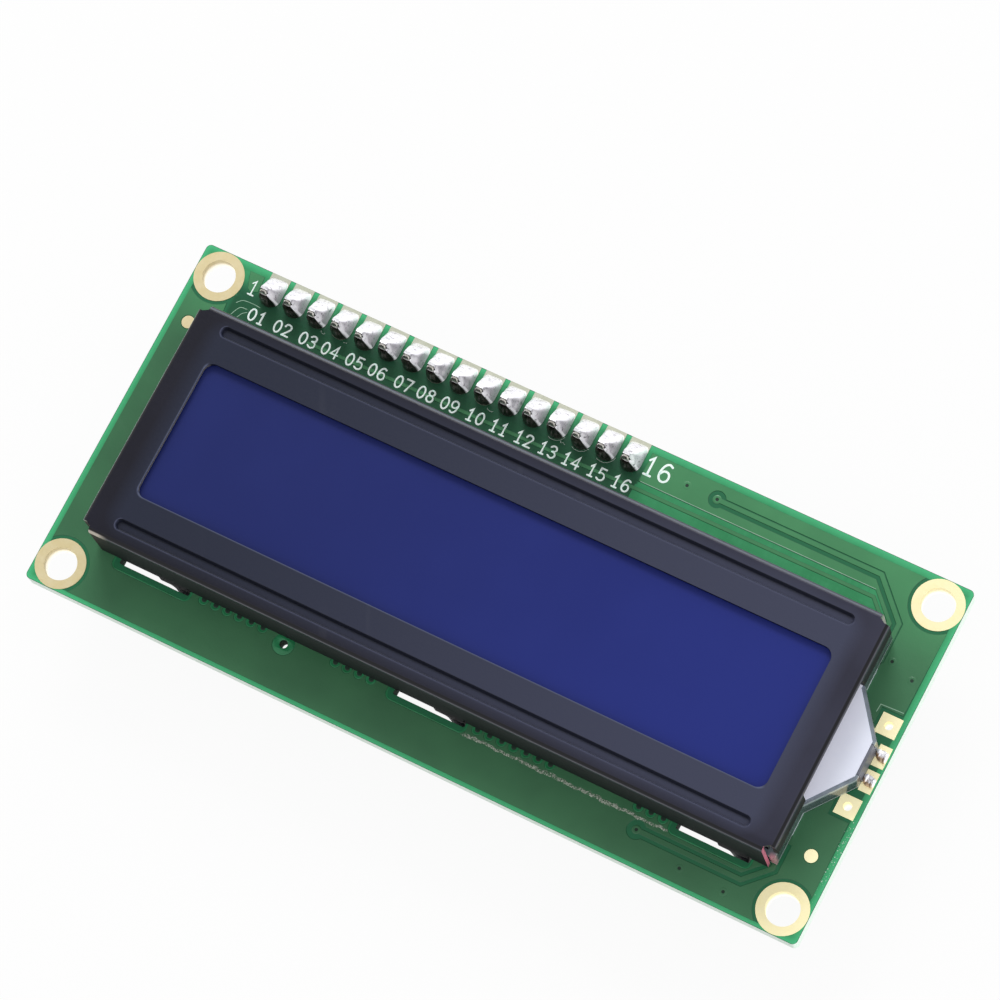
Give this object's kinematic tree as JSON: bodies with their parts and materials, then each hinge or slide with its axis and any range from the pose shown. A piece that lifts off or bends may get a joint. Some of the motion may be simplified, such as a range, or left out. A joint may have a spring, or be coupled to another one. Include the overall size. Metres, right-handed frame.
{
  "type": "character lcd module",
  "caption": "Character display module: blue display cell in a stamped steel bezel on a green circuit board, with an edge-lit backlight, corner mounting holes and a soldered pin header.",
  "frame": {"origin": "middle of the four mounting holes, on the front face of the circuit board", "axes": "+X along the board, +Y towards the header edge, +Z out of the screen"},
  "size_m": [0.08, 0.036, 0.0163],
  "materials": {
    "solder_mask": "green solder mask on a glass-fibre board, semi-gloss",
    "gold_plate": "thin gold plating, satin",
    "painted_steel": "dark semi-gloss paint on thin sheet steel",
    "blue_film": "blue polarizing film, satin",
    "cell_glass": "clear plate glass, polished",
    "seal_resin": "cured resin",
    "white_film": "white film, matt",
    "clear_acrylic": "clear moulded acrylic, polished",
    "contact_rubber": "layered silicone rubber, matt",
    "lamp_plastic": "moulded lamp body, satin",
    "tinned_metal": "tinned copper alloy, bright",
    "solder": "tin solder, bright",
    "black_plastic": "black moulded plastic, matt",
    "black_resin": "black epoxy resin, semi-gloss",
    "resistor_body": "black coating with tinned ends",
    "capacitor_body": "tan ceramic with tinned ends"
  },
  "bodies": {
    "root": {"circuit_board": "solder_mask", "mounting_hole_plating": "gold_plate", "header_pads": "gold_plate", "spare_lamp_pads": "gold_plate", "lead_pads": "gold_plate", "alignment_marks": "gold_plate", "bezel": "painted_steel", "front_polarizer": "blue_film", "front_glass": "cell_glass", "cell_seal": "seal_resin", "rear_glass": "cell_glass", "rear_polarizer": "blue_film", "diffusing_film": "white_film", "light_guide": "clear_acrylic", "reflecting_film": "white_film", "contact_strip_upper": "contact_rubber", "contact_strip_lower": "contact_rubber", "backlight_lamp": "lamp_plastic", "lamp_leads": "tinned_metal", "lead_solder": "solder", "header_bar": "black_plastic", "header_solder": "solder", "header_pin_01": "tinned_metal", "header_pin_02": "tinned_metal", "header_pin_03": "tinned_metal", "header_pin_04": "tinned_metal", "header_pin_05": "tinned_metal", "header_pin_06": "tinned_metal", "header_pin_07": "tinned_metal", "header_pin_08": "tinned_metal", "header_pin_09": "tinned_metal", "header_pin_10": "tinned_metal", "header_pin_11": "tinned_metal", "header_pin_12": "tinned_metal", "header_pin_13": "tinned_metal", "header_pin_14": "tinned_metal", "header_pin_15": "tinned_metal", "header_pin_16": "tinned_metal", "controller_cover": "black_resin", "driver_cover": "black_resin", "chip_resistor_1": "resistor_body", "chip_resistor_2": "resistor_body", "chip_resistor_3": "resistor_body", "chip_resistor_4": "resistor_body", "chip_resistor_5": "resistor_body", "chip_resistor_6": "resistor_body", "chip_capacitor_1": "capacitor_body", "chip_capacitor_2": "capacitor_body"}
  },
  "joints": []
}
